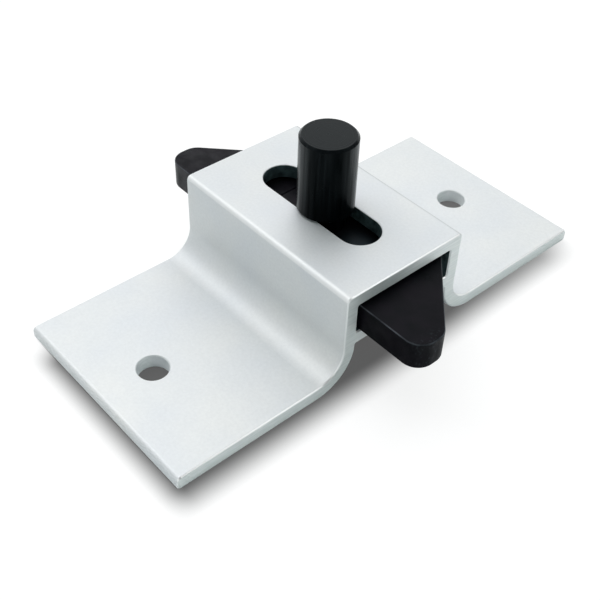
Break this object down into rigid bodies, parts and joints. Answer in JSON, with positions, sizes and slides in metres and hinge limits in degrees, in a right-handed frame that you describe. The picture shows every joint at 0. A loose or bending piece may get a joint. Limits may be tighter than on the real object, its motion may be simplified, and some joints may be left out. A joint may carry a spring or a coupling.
{
  "type": "slide latch",
  "caption": "Surface-mounted slide latch: extruded aluminium housing, flat black bolt bevelled at its ends, and a round knob that runs in a slot.",
  "frame": {"origin": "midway between the two screw holes, on the face that lies against the door", "axes": "+X is the way the bolt slides, +Y runs along the housing through both screw holes, +Z points away from the door"},
  "size_m": [0.0795, 0.1142, 0.0413],
  "materials": {
    "housing": "satin anodised",
    "bolt": "black anodised",
    "knob": "black anodised",
    "screw": "zinc plated"
  },
  "bodies": {
    "housing": {"latch_housing": "housing"},
    "bolt": {"slide_bolt": "bolt", "knob": "knob", "knob_screw": "screw"}
  },
  "joints": [
    {"name": "bolt_slide", "type": "slide", "parent": "housing", "child": "bolt", "axis": [1, 0, 0], "range_m": [-0.0131, 0.0103]}
  ]
}
